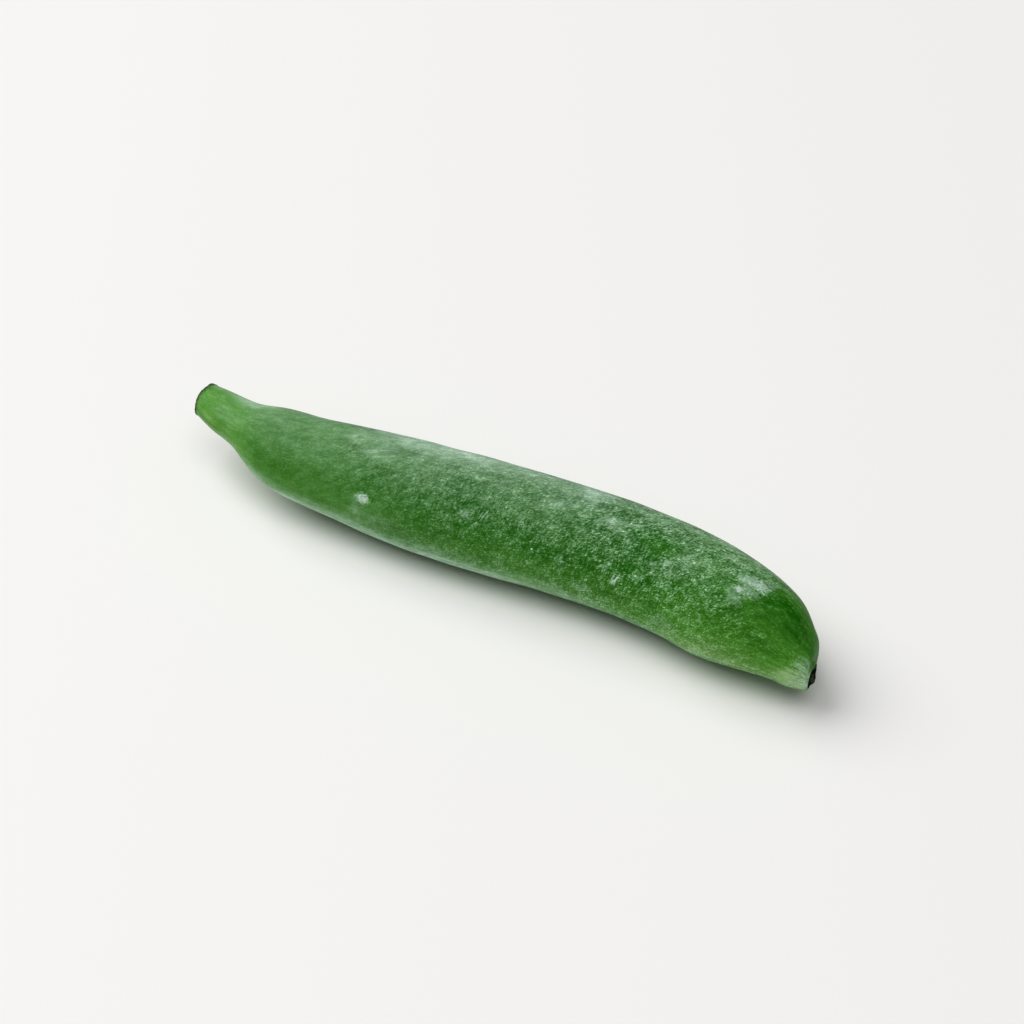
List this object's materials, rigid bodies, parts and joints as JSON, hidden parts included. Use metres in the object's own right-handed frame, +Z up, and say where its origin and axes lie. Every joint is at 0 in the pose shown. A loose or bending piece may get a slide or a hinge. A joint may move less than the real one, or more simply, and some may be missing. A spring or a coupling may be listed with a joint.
{
  "type": "green bean",
  "caption": "Green bean pod with a narrow cut stalk end, a plump rounded body and a short hooked beak, lying on a small flat spot of its belly.",
  "frame": {"origin": "the middle of the pod's box, on the surface that the pod lies on", "axes": "+X along the pod from the cut stalk end to the beak, +Y to the side that the beak hooks away from, +Z up, away from the surface"},
  "size_m": [0.068, 0.0156, 0.0107],
  "materials": {
    "pod_skin": "green plant skin with a dusty whitish bloom, finely grained along the pod, paler at the stalk end and at the beak"
  },
  "bodies": {
    "root": {"green_bean_pod": "pod_skin"}
  },
  "joints": []
}
